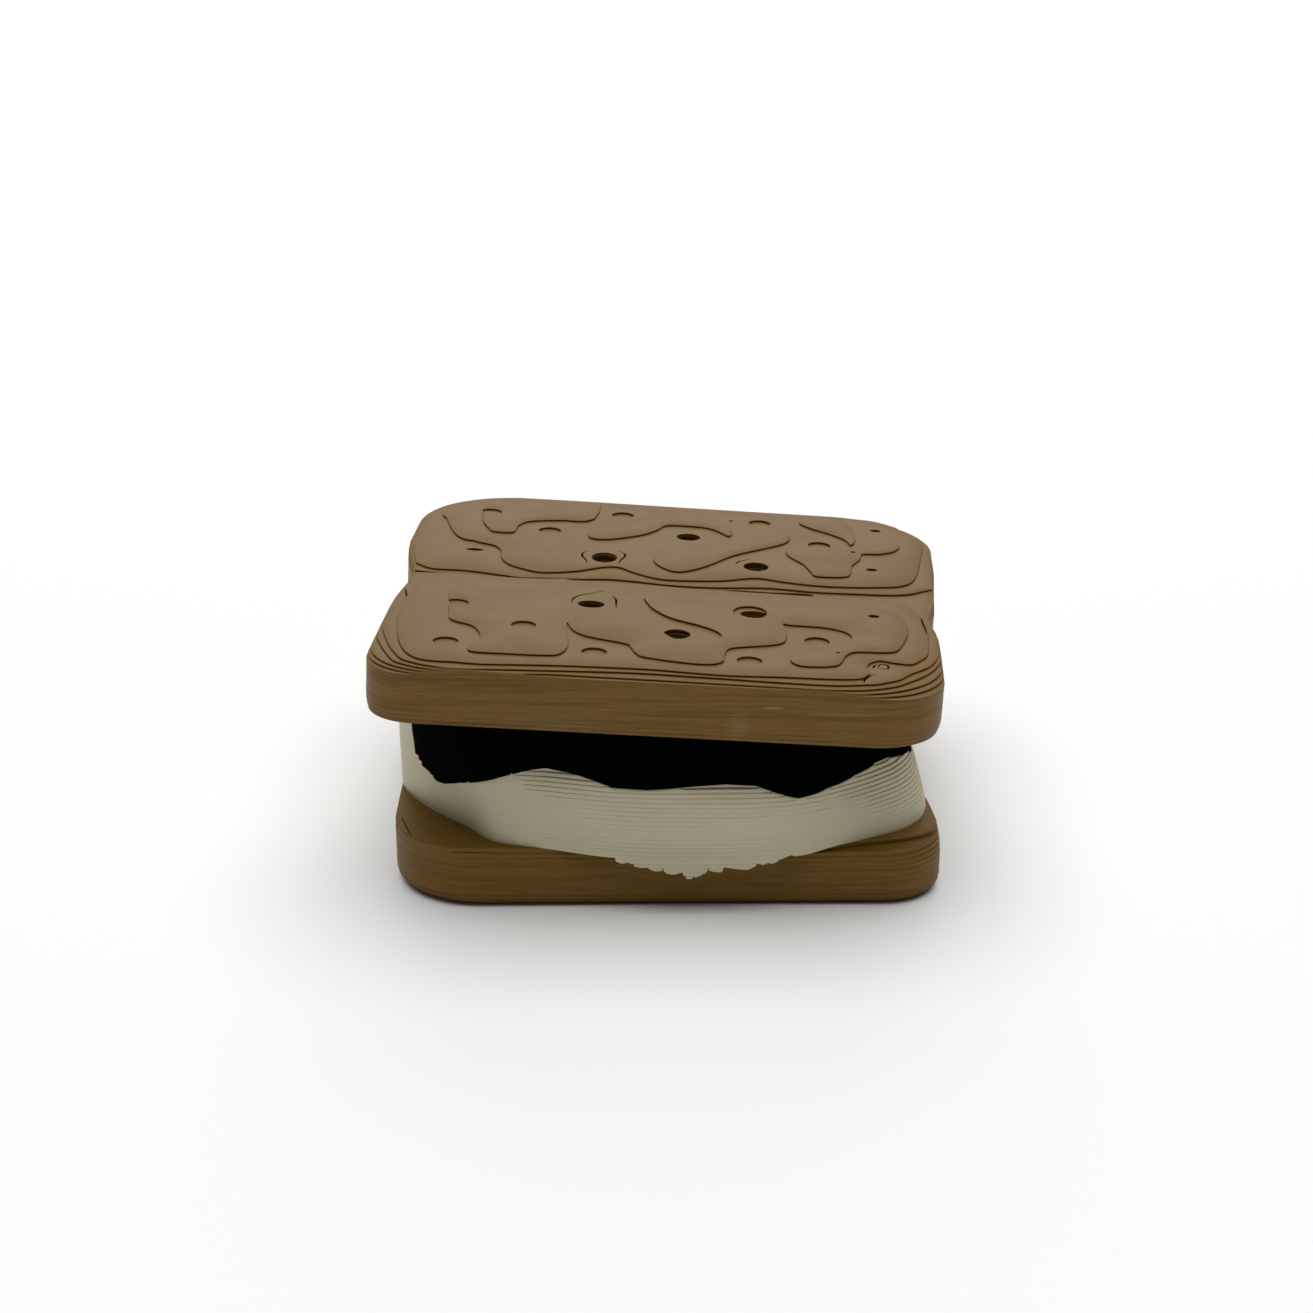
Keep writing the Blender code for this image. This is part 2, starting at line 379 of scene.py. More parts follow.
def bead_tones(loop, bare, thin, under, tones):
    """Painted shade at a bead's foot and in a hole, and a painted highlight at its head."""
    area = winding(loop)
    girth = np.linalg.norm(np.diff(loop, axis=0), axis=1).sum()
    hole_shade = tones.hole if area < 0 and -area < SLIM * girth else 0.0
    foot_shade = np.zeros(len(loop))
    if under:
        tread = distance(loop, under) * inside(loop, under)
        share = np.clip(tread / WIDE_TREAD, 0, 1)
        wide = tones.thin_wide if thin else tones.wide
        foot_shade = tones.flush + (wide - tones.flush) * share
        if area < 0 and share.mean() < 0.5:
            hole_shade = tones.hole
    turned = SIDEWAYS + (1 - SIDEWAYS) * np.abs(outward(loop)[:, 1]) if thin else 1.0
    return np.maximum(foot_shade * turned, hole_shade), tones.rim * bare * (area > 0) * turned, hole_shade


def stack_mesh(name, layers, place, tones, groove, edges, clearance):
    """One closed mesh from printed layers, with painted shade and highlight on its beads."""
    def lift(points, height):
        return settle(points, height, edges, clearance)

    verts, faces, painted_corner_shades, chains = [], [], [], []
    feet, heads, ledges = bead_edges(layers, groove)
    levels = [layers[0].low] + [layer.high for layer in layers]
    for height, below, above in zip(levels, [[]] + heads, feet + [[]]):
        corners, caps, *chain = fill_level(below, above, len(verts))
        verts.extend(np.column_stack((corners, lift(corners, height))).tolist())
        faces += caps
        painted_corner_shades += [(0.0,) * 3] * len(caps)
        chains.append(chain)
    for number, layer in enumerate(layers):
        thin = layer.high - layer.low < 1.5 * THIN
        under = layers[number - 1].loops if number else []
        starts, ends = chains[number][1], chains[number + 1][0]
        first = 0
        for loop, bare in zip(layer.loops, ledges[number]):
            # Painted shade at the bead's foot and in a hole, and pale, a painted highlight at its
            # head
            foot_shade, pale, hole_shade = bead_tones(loop, bare, thin, under, tones)
            drift = groove * wander(loop, number)
            rings, rows = [], [foot_shade]
            for share, draw, tone, rim_highlight in THIN_BEAD if thin else BEAD:
                ring = loop + (drift - groove * draw)[:, None] * outward(loop)
                rings.append(len(verts))
                height = (1 - share) * lift(ring, layer.low) + share * lift(ring, layer.high)
                verts.extend(np.column_stack((ring, height)).tolist())
                rows.append(np.maximum(tone * foot_shade - rim_highlight * pale, hole_shade or -1.0))
            rows.append(-pale)
            for step in range(len(loop)):
                after = (step + 1) % len(loop)
                strip = [starts[first + step]]
                strip += [[ring + step, ring + after] for ring in rings]
                strip.append(ends[first + step])
                for lower, upper, foot, head in zip(strip, strip[1:], rows, rows[1:]):
                    if len(lower + upper) > 2:
                        faces.append(lower + upper[::-1])
                        painted_corner_shades.append([foot[step]] * len(lower) + [head[step]] * len(upper))
            first += len(loop)
    mesh = bpy.data.meshes.new(name)
    mesh.from_pydata(verts, [], faces)
    # Painted shade and highlight of each face corner, for the material
    painted_shading = mesh.attributes.new("painted_shading", "FLOAT", "CORNER")
    painted_shading.data.foreach_set("value", [value for row in painted_corner_shades for value in row])
    mesh.transform(place)
    mesh.transform(Matrix.Scale(MM, 4))
    return mesh


def cut_above(mesh, place):
    """Cut a closed mesh off flat at a frame's ground level, and close it."""
    work = bmesh.new()
    work.from_mesh(mesh)
    normal = (place.to_3x3() @ Vector((0, 0, 1))).normalized()
    point = place.translation * MM
    everything = work.verts[:] + work.edges[:] + work.faces[:]
    result = bmesh.ops.bisect_plane(
        work, geom=everything, dist=TINY, plane_co=point, plane_no=normal, clear_outer=True)
    rim = [item for item in result["geom_cut"] if isinstance(item, bmesh.types.BMEdge)]
    bmesh.ops.triangle_fill(work, use_beauty=True, edges=rim, normal=normal)
    work.to_mesh(mesh)
    work.free()


def add_object(name, data):
    """A new object in the scene."""
    item = bpy.data.objects.new(name, data)
    bpy.context.scene.collection.objects.link(item)
    return item


# Upper cracker. Its lines are read as pixels, each at the foot of the step that shows
# as a dark line. Sides that face away are in mm.
FAR = 22.0
# Height of that line in its layer, as a share, and height of a thick layer
LINE_HEIGHT = 0.2
STEP = (TOP.thickness - THIN * THIN_LAYERS) / (TOP.layers - THIN_LAYERS)

# Edges of the front field's first level and of the two below it, which end at a Y on
# both sides. Then the edge of the back field.
FRONT_RIM = (
    (397, 632), (399, 642.5), (404, 651), (411.7, 656.7), (421.7, 660), (435, 661.7),
    (452, 662.5), (469, 664), (488, 665), (548, 666), (627, 669), (660, 671), (722, 676),
    (783, 678), (832, 680), (856, 680), (866, 678), (871, 675), (867.5, 670), (868, 666),
    (872, 663.5), (880, 661.7), (895, 664), (911.7, 665.3), (921.7, 660.8), (926.7, 657.5),
    (928.7, 651.7), (928.3, 638.3), (926, 626), (918, 616))
FRONT_RIM_BACK = ((13.6, -1.4), (8.0, -1.3), (-8.0, -1.3), (-13.4, -1.4), (-14.4, -2.8),
                  (-14.7, -6.0), (-14.7, -9.0))
SECOND_RIM = (
    (382, 628), (385.8, 640), (390, 648), (397.5, 656.7), (406.7, 663.3), (416.7, 667.5),
    (431.7, 669), (451.7, 669), (470, 669.7), (488, 670), (627, 673.5), (700, 678),
    (824, 686), (873, 685.5), (890, 684), (900, 680.8), (911.7, 675), (923, 670.8),
    (931.7, 666.7), (938.3, 660.8), (941, 652))
THIRD_RIM = (
    (374, 632), (380, 645), (386.7, 655), (395, 663.3), (404, 669), (418, 673), (440, 674),
    (488, 675), (540, 675), (600, 678), (760, 687), (830, 691), (870, 691), (895, 688),
    (910, 683), (925, 677), (934, 671), (940, 664), (944, 655))
TOP_RIM_END = -8.0
BACK_RIM = (
    (445, 514), (447, 519), (450, 526), (456, 535), (465, 540), (473, 541), (480, 543),
    (494, 546), (501, 551), (501, 557), (507, 564), (525, 570), (543, 573), (574, 572),
    (595, 569), (607, 567.5), (619, 568), (636, 574), (661, 580), (690, 581.5),
    (723, 581.5), (756, 579), (785, 583), (816, 586.5), (847, 588), (890, 588), (901, 587),
    (912, 583), (918, 572), (921, 557), (922, 545))
BACK_RIM_BACK = ((14.8, 12.6), (13.6, 14.6), (11.0, 15.4), (0.0, 15.6), (-9.0, 15.6),
                 (-11.5, 15.1))
# Snap line: the far side of its groove left and right, the near side in mm, and the
# far side of its deepest places, with their width
LEFT_GROOVE = ((404, 558), (415, 563), (432, 569), (465, 571), (503, 576), (523, 578.5))
LEFT_GROOVE_NEAR = ((-5.2, -0.2), (-8.0, -0.8), (-14.0, -0.9), (-18.0, -1.0), (-18.0, 2.6))
RIGHT_GROOVE = (
    (566, 581), (603, 580), (632, 582), (673, 586.5), (715, 588.5), (768, 589), (814, 593),
    (860, 595), (891, 596), (910, 595), (922, 592.5), (936, 590))
RIGHT_GROOVE_NEAR = ((18.0, 2.7), (18.0, -0.9), (13.0, -0.9), (4.0, -1.0), (-2.5, -0.6))
DEEP_GROOVES = (
    ((404, 571), (422, 572), (445, 575), (468, 578), (490, 579)),
    ((593, 584), (614, 585), (636, 587)),
    ((728, 592), (770, 594), (810, 596)))
DEEP_NEAR = 0.7

# Raised fields on the top face, and a sunk one in the last of them
ISLANDS = (
    # back left
    ((489, 529), (494, 532), (512, 533), (517, 529), (519, 526), (530, 522), (561, 521),
     (582, 522), (593, 520), (597, 516), (600, 510), (598, 503), (570, 505), (540, 509),
     (524, 512), (519, 510), (517, 505), (511, 501), (494, 501), (484, 508), (483, 521)),
    # back middle
    ((590, 530), (590, 538), (607, 540), (640, 536), (657, 531), (664, 527), (673, 526),
     (702, 528), (715, 531), (729, 537), (732, 532), (726, 525), (700, 518), (660, 517),
     (625, 522), (600, 524)),
    # the long one above the groove
    ((654, 562), (660, 567), (673, 572), (686, 572), (706, 567), (735, 556), (770, 548),
     (785, 544), (790, 539), (786, 535), (765, 537), (735, 543), (700, 546), (668, 549),
     (655, 555)),
    # back right
    ((799, 523), (810, 529), (830, 535), (845, 541), (851, 546), (855, 541), (852, 531),
     (843, 522), (826, 516), (808, 515)),
    # right
    ((789, 557), (803, 565), (810, 572), (816, 577), (839, 578), (848, 577), (851, 573),
     (852, 567), (860, 560), (863, 555), (879, 555), (895, 552), (899, 546), (888, 544),
     (862, 550), (846, 552), (828, 545), (806, 541), (792, 545), (786, 551)),
    # front, all across
    ((451, 620), (473, 627), (480, 638), (468, 647), (471, 652), (500, 654), (548, 656),
     (561, 654), (568, 645), (567, 624), (573, 631), (587, 637), (626, 644.6), (631, 648.5),
     (636, 654), (645, 658), (701, 665), (722, 663), (725, 655), (732, 649), (771, 646),
     (784, 643), (787, 634), (783, 625), (790, 626), (820, 628), (838, 631), (849, 635),
     (852, 640), (846, 647), (815, 651), (794, 656), (791, 662), (803, 667), (834, 667),
     (842, 663), (846, 657), (856, 653), (893, 653), (903, 645), (908, 630), (895, 614),
     (850, 606), (780, 603), (700, 600), (640, 594), (560, 591), (500, 589), (470, 588),
     (452, 590), (449, 600), (449, 612)),
)
POND = ((644, 600), (652, 609), (671, 619), (701, 627), (719, 634), (720, 640), (706, 644),
        (674, 640), (656, 627), (648, 612))
# Deep holes: pixel of the middle, half width and half depth in mm. They go down some
# layers, and the pixel lies a little below the top face.
DEEP_HOLES = (
    ((604.5, 557), 0.75, 0.95), ((688.5, 536.7), 0.73, 0.72), ((756, 566.3), 0.78, 0.88),
    ((591, 605.7), 0.76, 0.62), ((677, 633.5), 0.75, 0.8), ((754, 614), 0.76, 0.58))
HOLE_LAYERS = 6
HOLE_RIM = 0.1
# How much their size wavers from layer to layer, and its pace
HOLE_WAVER = (0.04, 2.1)
# How far the islands keep from the sides
EDGE_MARGIN = 1.1
# A ring round a deep hole, and cuts as thin as a scratch
RINGS = (((750, 614), 0.98, 1.15),)
TRENCHES = (
    ((588, 552.5), (583.5, 554), (582, 557), (585, 560.5)),
    ((619, 552.5), (624, 555), (625, 558), (621, 561.5)),
    ((735, 566), (739, 563), (744, 562)),
    ((571.5, 604.5), (573.5, 600), (580, 597), (592, 595)),
    ((613, 598), (616, 601.5), (616, 605.5)),
    ((405, 590), (406.5, 596), (408, 602.5)),
    ((920.5, 618), (922.5, 624), (925, 630)),
    ((861, 680.5), (866, 678.5), (869, 676), (873, 675)),
    ((866, 677), (865, 680.5)),
    ((872.5, 670), (874, 668), (875.5, 667)),
    ((878, 669.5), (879.5, 666.8), (883, 666), (887, 667.5), (888.5, 670), (885, 671),
     (880.5, 670.6)))
# Their width, spacing of points and how blunt their ends are
TRENCH_WIDTH = 0.12
TRENCH_SPACING = 0.1
TRENCH_TIP = 0.15
# Round holes one layer deep, and two layers deep flat ones and dots: radii in mm
HOLE_RADIUS = 0.7
SHALLOW_HOLES = (
    (491, 513), (623, 517), (550, 532), (456.5, 604), (523.5, 626.5), (445.5, 642.5),
    (594, 653.5), (759.5, 525), (819, 547), (817, 643), (749.5, 662.5))
FLAT_HOLES = (((475, 551), 0.52), ((875, 532.5), 0.34), ((871.5, 571.5), 0.34),
              ((873.5, 618), 0.32))
FLAT_RADIUS = 0.26
DOTS = (((731, 522.5), 0.14), ((853, 553.7), 0.16), ((838, 654.4), 0.12))

# Scuffs on the front wall, which lies at a Y: half their depth, then of each the pixel,
# half width and half height in mm, strength and colour
TOP_FRONT = -16.86
SMUDGE_DEPTH = 1.5
SMUDGES = (
    ((772, 707), 0.8, 0.08, 0.6, (0.42, 0.34, 0.18)),
    ((845, 713.5), 2.4, 0.13, 0.45, (0.34, 0.25, 0.1)),
    ((738, 727), 0.9, 0.9, 0.35, (0.25, 0.21, 0.11)),
    ((560, 724), 3.5, 0.5, 0.25, (0.22, 0.18, 0.09)))


def depth_of(level):
    """How far below the top face a layer starts, counted from the top."""
    return THIN * min(level, THIN_LAYERS) + STEP * max(0, level - THIN_LAYERS)


def top_level(pixels, level):
    """Pixels on the top face, at the foot of a layer's step, counted from the top."""
    foot = LINE_HEIGHT * depth_of(level) + (1 - LINE_HEIGHT) * depth_of(level + 1)
    return sight(pixels, TOP_FRAME, -foot)


def trench(line, width):
    """A narrow cut along a line, pointed at its ends."""
    middle = curve(line, TRENCH_SPACING, closed=False)
    run = np.gradient(middle, axis=0)
    aside = np.stack((-run[:, 1], run[:, 0]), axis=1)
    aside /= np.linalg.norm(aside, axis=1)[:, None]
    half = width / 2 * np.sin(np.linspace(TRENCH_TIP, pi - TRENCH_TIP, len(middle)))[:, None]
    return np.concatenate((middle - half * aside, (middle + half * aside)[::-1]))


def top_layers():
    """The upper cracker's layers, from its underside up."""
    levels = [[cracker_outline(TOP, level)] for level in range(TOP.layers)]

    def cut(level, outline):
        levels[level] = less(levels[level], [outline])

    # third and second level below the islands, with the groove and its deepest places
    for level, rim in ((3, THIRD_RIM), (2, SECOND_RIM)):
        line = curve(top_level(rim, level), FINE_SPACING, closed=False)
        levels[level] = both(levels[level], [all_behind(line, TOP_RIM_END)])
    for line in DEEP_GROOVES:
        far = top_level(line, 3)
        near = far[::-1] - (0.0, DEEP_NEAR)
        cut(3, curve(np.concatenate((far, near)), FINE_SPACING))
    for line, near in ((LEFT_GROOVE, LEFT_GROOVE_NEAR), (RIGHT_GROOVE, RIGHT_GROOVE_NEAR)):
        cut(2, curve(np.concatenate((top_level(line, 2), near)), FINE_SPACING))
    # first level: a front and a back field
    front = np.concatenate((top_level(FRONT_RIM, 1), FRONT_RIM_BACK))
    back = np.concatenate((top_level(BACK_RIM, 1), BACK_RIM_BACK))
    levels[1] = both(levels[1], [curve(front, FINE_SPACING), curve(back)])
    islands = [curve(top_level(island, 0), FINE_SPACING) for island in ISLANDS]
    margins = EDGE_MARGIN * np.array((1, 1, -1, -1))
    levels[0] = both(islands, [rounded_box(*(TOP.limits - margins), TOP.corners)])
    cut(0, curve(top_level(POND, 0), FINE_SPACING))
    for pixel, half_x, half_y in RINGS:
        cut(0, ellipse(top_level((pixel,), 0)[0], half_x, half_y))
    # holes, down to the level they end at
    waver, pace = HOLE_WAVER
    for number, (pixel, half_x, half_y) in enumerate(DEEP_HOLES):
        centre = sight((pixel,), TOP_FRAME, -HOLE_RIM)[0]
        for level in range(HOLE_LAYERS):
            swell = 1 + waver * sin(number + pace * level)
            cut(level, ellipse(centre, swell * half_x, swell * half_y))
    # marks one or two layers deep, in whichever of the upper levels they lie
    marks = [(1, ellipse, (pixel,), (HOLE_RADIUS, HOLE_RADIUS)) for pixel in SHALLOW_HOLES]
    marks += [(2, ellipse, (pixel,), (radius, FLAT_RADIUS, 20)) for pixel, radius in FLAT_HOLES]
    marks += [(2, ellipse, (pixel,), (radius, radius, 12)) for pixel, radius in DOTS]
    marks += [(2, trench, line, (TRENCH_WIDTH,)) for line in TRENCHES]
    fields = [list(level) for level in levels[:3]]
    for deep, shape, pixels, sizes in marks:
        for level, field in enumerate(fields):
            line = top_level(pixels, level)
            if inside(line.mean(axis=0)[None], field)[0]:
                outline = shape(line[0] if shape is ellipse else line, *sizes)
                for step in range(level, level + deep):
                    cut(step, outline)
                break
    return [Layer(-depth_of(level + 1), -depth_of(level), levels[level])
            for level in reversed(range(TOP.layers))]


# Lower cracker: edge of its upper face along the front, and a mark at its left
BOTTOM_RIM = (
    (392, 800), (396, 822), (402, 840), (412, 849), (430, 852), (470, 853), (568, 854),
    (700, 853), (816, 851), (860, 846), (900, 842), (928, 836), (940, 826))
BOTTOM_RIM_END = -6.0
BOTTOM_MARK = ((402, 817), (404, 822), (407.5, 829))


def bottom_layers():
    """The lower cracker's layers, from the floor up."""
    step = BOTTOM.thickness / BOTTOM.layers
    layers = [Layer(step * number, step * (number + 1),
                    [cracker_outline(BOTTOM, BOTTOM.layers - 1 - number)])
              for number in range(BOTTOM.layers)]
    line = curve(sight(BOTTOM_RIM, BOTTOM_FRAME, BOTTOM.thickness - step), closed=False)
    top = both(layers[-1].loops, [all_behind(line, BOTTOM_RIM_END)])
    mark = trench(sight(BOTTOM_MARK, BOTTOM_FRAME, BOTTOM.thickness), TRENCH_WIDTH / 2)
    layers[-1] = layers[-1]._replace(loops=less(top, [mark]))
    return layers


# The marshmallow: outlines at a few heights, each read at the same places around it,
# from the front's middle on. X and Y in mm.
PILLOW_RIMS = {
    3.64: ((1.5, -15.85), (5.0, -15.7), (7.6, -15.2), (9.6, -13.9), (12.2, -12.5),
           (14.0, -11.2), (15.1, -8.9), (15.2, -3.0), (15.0, 6.0), (14.2, 11.5),
           (11.3, 15.2), (5.0, 16.1), (-5.0, 16.1), (-11.5, 15.0), (-14.9, 11.2),
           (-15.9, 4.0), (-15.8, -1.5), (-15.4, -5.4), (-13.7, -8.5), (-11.2, -11.35),
           (-9.6, -13.35), (-6.5, -14.35), (-3.4, -15.4), (-1.0, -15.8)),
    5.2: ((1.5, -16.05), (5.0, -15.9), (7.7, -15.3), (9.8, -14.1), (12.1, -12.6),
          (13.8, -11.1), (14.75, -8.9), (14.8, -3.0), (14.7, 6.0), (14.0, 11.5),
          (11.2, 15.1), (5.0, 16.1), (-5.0, 16.1), (-11.5, 15.0), (-14.9, 11.2),
          (-15.8, 4.0), (-15.7, -1.5), (-15.45, -5.6), (-13.8, -8.8), (-11.3, -11.6),
          (-9.6, -13.5), (-6.6, -14.6), (-3.5, -15.6), (-1.0, -16.0)),
    7.4: ((1.5, -15.9), (5.0, -15.8), (7.7, -15.2), (9.7, -14.1), (11.8, -12.5),
          (13.3, -10.8), (14.1, -8.5), (14.2, -3.0), (14.1, 6.0), (13.6, 11.3),
          (11.0, 14.9), (5.0, 15.9), (-5.0, 15.9), (-11.4, 14.9), (-14.8, 11.1),
          (-15.6, 4.0), (-15.6, -1.5), (-15.5, -5.8), (-13.9, -9.2), (-11.5, -12.1),
          (-9.7, -13.8), (-6.5, -14.8), (-3.4, -15.5), (-1.0, -15.8)),
    9.2: ((1.5, -15.6), (5.0, -15.5), (7.7, -14.9), (9.6, -13.7), (11.4, -12.0),
          (12.7, -10.3), (13.45, -8.0), (13.7, -3.0), (13.6, 6.0), (13.2, 11.0),
          (10.7, 14.6), (5.0, 15.6), (-5.0, 15.6), (-11.2, 14.6), (-14.6, 10.9),
          (-15.4, 4.0), (-15.5, -1.5), (-15.4, -6.2), (-14.1, -10.0), (-11.9, -12.8),
          (-9.9, -14.2), (-6.6, -15.0), (-3.4, -15.4), (-1.0, -15.55)),
    11.4: ((1.5, -15.4), (5.0, -15.3), (7.4, -14.6), (9.2, -13.4), (10.9, -11.7),
           (12.1, -9.9), (12.8, -7.8), (13.1, -3.0), (13.1, 6.0), (12.7, 10.8),
           (10.4, 14.3), (5.0, 15.3), (-5.0, 15.3), (-11.0, 14.3), (-14.3, 10.7),
           (-15.2, 4.0), (-15.3, -1.5), (-15.2, -6.4), (-14.0, -10.3), (-12.0, -13.0),
           (-9.9, -14.3), (-6.6, -14.9), (-3.4, -15.3), (-1.0, -15.4)),
}
# Hollows of the pillow below the waves of the chocolate: middle X, half width, depth,
# the heights between which they grow, and how slowly they start
HOLLOWS = ((-6.4, 2.6, 0.75), (3.4, 2.8, 0.75))
HOLLOW_LOW = 6.9
HOLLOW_HIGH = 9.0
HOLLOW_EASE = 1.5

# Drip over the lower cracker's front: its lower edge in pixels, the Y of its face and
# back, its layers, and how far each draws in below the one above
DRIP_EDGE = (
    (598, 850), (611, 858), (618, 864), (625, 864), (629, 862), (635, 867), (642, 868),
    (648, 867), (653, 871), (659, 871), (663, 870), (668, 874), (676, 874), (681, 872),
    (686, 879), (690, 880), (695, 878), (704, 874), (708, 870), (715, 872), (722, 872),
    (725, 867), (737, 869), (748, 870), (755, 867), (759, 864), (767, 866), (775, 864),
    (780, 861), (795, 856), (806, 850))
DRIP_FRONT = -15.75
DRIP_BACK = -12.0
DRIP_LAYERS = 6
DRIP_TAPER = 0.05

# Chocolate: how far it stands proud of the pillow, the underside, sides and corners of
# its middle, its lower edge in front in pixels, and at the back as X and height in mm
PROUD = 0.14
SLAB_LOW = 8.9
SLAB_CORE = (12.3, 13.0, -13.3, -13.0)
SLAB_CORNER = 1.0
BAND_CORNER = 0.01
CHOCOLATE_FRONT = (
    (412, 724), (415, 753), (419, 760), (429, 769), (436, 779), (445, 782), (480, 780),
    (504, 775), (528, 769), (546, 767), (576, 773), (600, 782), (612, 787), (648, 789),
    (696, 785), (726, 783), (756, 785), (780, 793), (798, 797), (816, 792), (828, 786),
    (840, 782), (852, 775), (864, 769), (876, 761), (888, 756), (900, 754), (905, 751),
    (908, 748), (910, 744), (911, 735))
CHOCOLATE_BACK = ((-13.4, 11.5), (-12.8, 9.0), (-9.0, 7.7), (-6.5, 8.2), (-3.0, 8.7),
                  (1.0, 7.5), (4.0, 7.9), (7.5, 8.6), (10.5, 7.8), (12.0, 8.8), (12.8, 11.0))
# Y at which its drips end inside, at the top, how much that grows with depth, and how
# far and how fast it wavers
CHOCOLATE_END = 6.3
CHOCOLATE_SLANT = 0.45
CHOCOLATE_WAVER = (0.25, 2.2)
# Gap between two pieces, and a level above the filling, which the upper cracker cuts
CLEARANCE = 0.03
FILLING_TOP = 12.4

# Step of a search down the pillow in mm, and steps of one along a lower edge. Points
# between layers settle on an edge this share of a layer away, beyond this Y.
SEARCH_STEP = 0.06
SEARCH_STEPS = 1200
SETTLE_SHARE = 0.55
SETTLE_BEYOND = 8.0


def plain_outline(height):
    """The pillow's outline at a height, blended from the rims above and below."""
    heights = sorted(PILLOW_RIMS)
    height = min(height, heights[-1])
    rims = [np.array(PILLOW_RIMS[level]) for level in heights]
    upper = min(max(1, int(np.searchsorted(heights, height))), len(heights) - 1)
    lower = upper - 1
    before, after = max(lower - 1, 0), min(upper + 1, len(heights) - 1)
    gap = heights[upper] - heights[lower]
    share = (height - heights[lower]) / gap
    slope_low = (rims[upper] - rims[before]) / (heights[upper] - heights[before]) * gap
    slope_high = (rims[after] - rims[lower]) / (heights[after] - heights[lower]) * gap
    return curve(blend(share, rims[lower], slope_low, rims[upper], slope_high), PILLOW_SPACING)


def pillow_outline(height):
    """The pillow's outline with its hollows below the chocolate's waves."""
    outline = plain_outline(height)
    share = np.clip((height - HOLLOW_LOW) / (HOLLOW_HIGH - HOLLOW_LOW), 0, 1)
    for middle, half_width, depth in HOLLOWS:
        fall = np.exp(-((outline[:, 0] - middle) / half_width) ** 2)
        outline[:, 1] += np.where(outline[:, 1] < 0, depth * share ** HOLLOW_EASE * fall, 0)
    return outline


def on_pillow(pixels):
    """Where lines of sight first meet the pillow, as X and height."""
    found = {}
    for height in np.arange(FILLING_TOP, BOTTOM.thickness, -SEARCH_STEP):
        places = sight(pixels, WORLD, height)
        for number in np.flatnonzero(inside(places, [plain_outline(height)])):
            found.setdefault(number, (places[number, 0], height))
    return [found[number] for number in sorted(found)]


def on_upright(pixels, front):
    """Pixels on an upright plane at a Y, as X and height."""
    upright = Matrix.Translation((0, front, 0)) @ Matrix.Rotation(pi / 2, 4, "X")
    return sight(pixels, upright, 0.0)


def spans(edge, height):
    """Stretches of X over which a lower edge lies below a height."""
    x, z = np.array(edge).T
    fine = np.linspace(x[0], x[-1], SEARCH_STEPS)
    low = np.interp(fine, x, z) < height
    low[[0, -1]] = False
    starts = np.flatnonzero(low & ~np.roll(low, 1))
    ends = np.flatnonzero(low & ~np.roll(low, -1))
    return [(fine[start], fine[end]) for start, end in zip(starts, ends) if start < end]


def band(start, end, front, back):
    """A straight strip in plan."""
    return rounded_box(end, back, start, front, (BAND_CORNER,) * 4, FINE_SPACING)


def settle(points, height, edges, clearance):
    """Heights of points between layers, let down or up to a lower edge near them."""
    heights = np.full(len(points), height)
    for edge, sign in edges:
        x, z = np.array(edge).T
        target = np.interp(points[:, 0], x, z, left=np.inf, right=np.inf) + clearance
        near = np.abs(target - height) < SETTLE_SHARE * LAYER
        near &= sign * points[:, 1] > SETTLE_BEYOND
        heights = np.where(near, target, heights)
    return heights


def chocolate_region(height, front, back):
    """The chocolate's outlines at a height."""
    limit = plain_outline(height)
    waver, pace = CHOCOLATE_WAVER
    end = CHOCOLATE_END + CHOCOLATE_SLANT * (FILLING_TOP - height) + waver * sin(pace * height)
    drips = [band(*stretch, -OUTSIDE, -end) for stretch in spans(front, height)]
    drips += [band(*stretch, end, OUTSIDE) for stretch in spans(back, height)]
    if height > SLAB_LOW:
        core = [rounded_box(*SLAB_CORE, (SLAB_CORNER,) * 4)]
        drips = combine(lambda a, b: a | b, drips, core) if drips else core
    return both([limit + PROUD * outward(limit)], drips) if drips else []


def filling_levels():
    """Feet of the filling's layers, from the lower cracker up."""
    count = ceil((FILLING_TOP - BOTTOM.thickness) / LAYER)
    return BOTTOM.thickness + LAYER * np.arange(count)


def chocolate_layers(front, back):
    """The slab with its drips, from the lowest drip up."""
    layers = [Layer(low, low + LAYER, chocolate_region(low + LAYER / 2, front, back))
              for low in filling_levels()]
    return [layer for layer in layers if layer.loops]


def marshmallow_layers(chocolate, drip):
    """The drip, then the pillow with the chocolate's room cut out of it."""
    layers = []
    cracker = cracker_outline(BOTTOM, BOTTOM.layers // 2)
    turned = cracker @ np.array(BOTTOM_FRAME.to_2x2().transposed()) + BOTTOM_CENTRE[:2]
    room = [turned + CLEARANCE * outward(turned)]
    skin = pillow_outline(BOTTOM.thickness)
    for number in reversed(range(DRIP_LAYERS)):
        high = BOTTOM.thickness - LAYER * number
        strips = [band(*stretch, -OUTSIDE, DRIP_BACK) for stretch in spans(drip, high - LAYER / 2)]
        if strips:
            limit = skin - DRIP_TAPER * number * outward(skin)
            layers.append(Layer(high - LAYER, high, less(both([limit], strips), room)))
    rooms = {layer.low: layer.loops for layer in chocolate}
    for low in filling_levels():
        region = [pillow_outline(low + LAYER / 2)]
        if low in rooms:
            region = less(region, [loop + CLEARANCE * outward(loop) for loop in rooms[low]])
        layers.append(Layer(low, low + LAYER, region))
    return layers


def shader(name, roughness, specular):
    """A new material and its shader."""
    material = bpy.data.materials.new(name)
    material.use_nodes = True
    tree = material.node_tree
    principled = tree.nodes["Principled BSDF"]
    principled.inputs["Roughness"].default_value = roughness
    principled.inputs["Specular IOR Level"].default_value = specular
    return material, tree, principled


